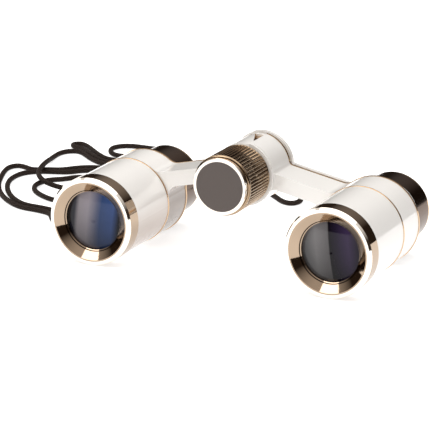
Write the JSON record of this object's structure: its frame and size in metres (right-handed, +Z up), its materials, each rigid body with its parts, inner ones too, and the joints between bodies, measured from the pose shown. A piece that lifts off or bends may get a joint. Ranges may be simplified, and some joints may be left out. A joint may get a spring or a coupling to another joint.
{
  "type": "folding opera glasses",
  "caption": "Folding binoculars with paired barrels on a central hinge, a knurled focus knob, a sliding eyepiece bridge and a braided neck cord.",
  "frame": {"origin": "under the middle of the glasses, without the strap and its fittings, on the surface they lie on", "axes": "+X along the bridge towards the barrel on the viewer's right from the objective end, +Y towards the eye end along the barrels, +Z up towards the bridge"},
  "size_m": [0.1757, 0.1337, 0.0379],
  "materials": {
    "left_objective_bezel": "polished pale gold plate",
    "left_objective_lens": "polished, coated",
    "left_lens_retainer": "matt black",
    "left_front_tube": "glossy white enamel",
    "left_joint_ring": "polished champagne gold plate",
    "left_guide_bush": "matt black",
    "left_body": "glossy white enamel",
    "left_rear_trim": "polished champagne gold plate",
    "hinge_tube": "polished dark brown plate",
    "spindle_bearing": "polished champagne gold plate",
    "guide_screw": "satin",
    "strap_lug": "polished champagne gold plate",
    "strap_ring": "polished champagne gold plate",
    "strap_cap": "polished champagne gold plate",
    "neck_cord": "black braided cord",
    "right_objective_bezel": "polished pale gold plate",
    "right_objective_lens": "polished, coated",
    "right_lens_retainer": "matt black",
    "right_front_tube": "glossy white enamel",
    "right_joint_ring": "polished champagne gold plate",
    "right_guide_bush": "matt black",
    "right_body": "glossy white enamel",
    "right_rear_trim": "polished champagne gold plate",
    "front_knuckle": "glossy white enamel",
    "rear_knuckle": "glossy white enamel",
    "focus_knob": "polished champagne gold plate",
    "knob_front_ring": "polished pale gold plate",
    "knob_disc": "satin warm grey",
    "knob_screw": "satin",
    "focus_spindle": "satin",
    "spindle_clip": "satin",
    "carriage_stud": "satin",
    "left_eyepiece_arm": "glossy white enamel",
    "spring_washer": "satin",
    "cap_nut": "polished champagne gold plate",
    "left_slide_tube": "polished dark brown plate",
    "left_eyepiece_collar": "polished dark brown plate",
    "left_eyepiece_shell": "polished dark brown plate",
    "left_eye_lens": "polished, coated",
    "left_eye_lens_retainer": "matt black",
    "left_eye_rim": "polished champagne gold plate",
    "right_eyepiece_arm": "glossy white enamel",
    "right_slide_tube": "polished dark brown plate",
    "right_eyepiece_collar": "polished dark brown plate",
    "right_eyepiece_shell": "polished dark brown plate",
    "right_eye_lens": "polished, coated",
    "right_eye_lens_retainer": "matt black",
    "right_eye_rim": "polished champagne gold plate"
  },
  "bodies": {
    "left_half": {"left_objective_bezel": "left_objective_bezel", "left_objective_lens": "left_objective_lens", "left_lens_retainer": "left_lens_retainer", "left_front_tube": "left_front_tube", "left_joint_ring": "left_joint_ring", "left_guide_bush": "left_guide_bush", "left_body": "left_body", "left_rear_trim": "left_rear_trim", "hinge_tube": "hinge_tube", "spindle_bearing": "spindle_bearing", "guide_screw": "guide_screw", "strap_lug": "strap_lug", "strap_ring": "strap_ring", "strap_cap": "strap_cap", "neck_cord": "neck_cord"},
    "right_half": {"right_objective_bezel": "right_objective_bezel", "right_objective_lens": "right_objective_lens", "right_lens_retainer": "right_lens_retainer", "right_front_tube": "right_front_tube", "right_joint_ring": "right_joint_ring", "right_guide_bush": "right_guide_bush", "right_body": "right_body", "right_rear_trim": "right_rear_trim", "front_knuckle": "front_knuckle", "rear_knuckle": "rear_knuckle"},
    "focus_drive": {"focus_knob": "focus_knob", "knob_front_ring": "knob_front_ring", "knob_disc": "knob_disc", "knob_screw": "knob_screw", "focus_spindle": "focus_spindle", "spindle_clip": "spindle_clip"},
    "carriage": {"carriage_stud": "carriage_stud", "left_eyepiece_arm": "left_eyepiece_arm", "spring_washer": "spring_washer", "cap_nut": "cap_nut", "left_slide_tube": "left_slide_tube", "left_eyepiece_collar": "left_eyepiece_collar", "left_eyepiece_shell": "left_eyepiece_shell", "left_eye_lens": "left_eye_lens", "left_eye_lens_retainer": "left_eye_lens_retainer", "left_eye_rim": "left_eye_rim"},
    "right_eyepiece": {"right_eyepiece_arm": "right_eyepiece_arm", "right_slide_tube": "right_slide_tube", "right_eyepiece_collar": "right_eyepiece_collar", "right_eyepiece_shell": "right_eyepiece_shell", "right_eye_lens": "right_eye_lens", "right_eye_lens_retainer": "right_eye_lens_retainer", "right_eye_rim": "right_eye_rim"}
  },
  "joints": [
    {"name": "fold", "type": "hinge", "parent": "left_half", "child": "right_half", "pos_m": [0, 0, 0.02765], "axis": [0, 1, 0], "range_deg": [0, 60]},
    {"name": "focus_turn", "type": "hinge", "parent": "left_half", "child": "focus_drive", "pos_m": [0, 0, 0.02765], "axis": [0, 1, 0], "range_deg": [0, 180]},
    {"name": "eyepiece_travel", "type": "slide", "parent": "left_half", "child": "carriage", "axis": [0, 1, 0], "range_m": [0, 0.006]},
    {"name": "eyepiece_fold", "type": "hinge", "parent": "carriage", "child": "right_eyepiece", "pos_m": [0, 0, 0.02765], "axis": [0, 1, 0], "range_deg": [0, 60]}
  ],
  "couplings": [
    {"joint": "focus_turn", "follows": "eyepiece_travel", "rad_per_m": 523.6},
    {"joint": "eyepiece_fold", "follows": "fold", "ratio": 1}
  ]
}
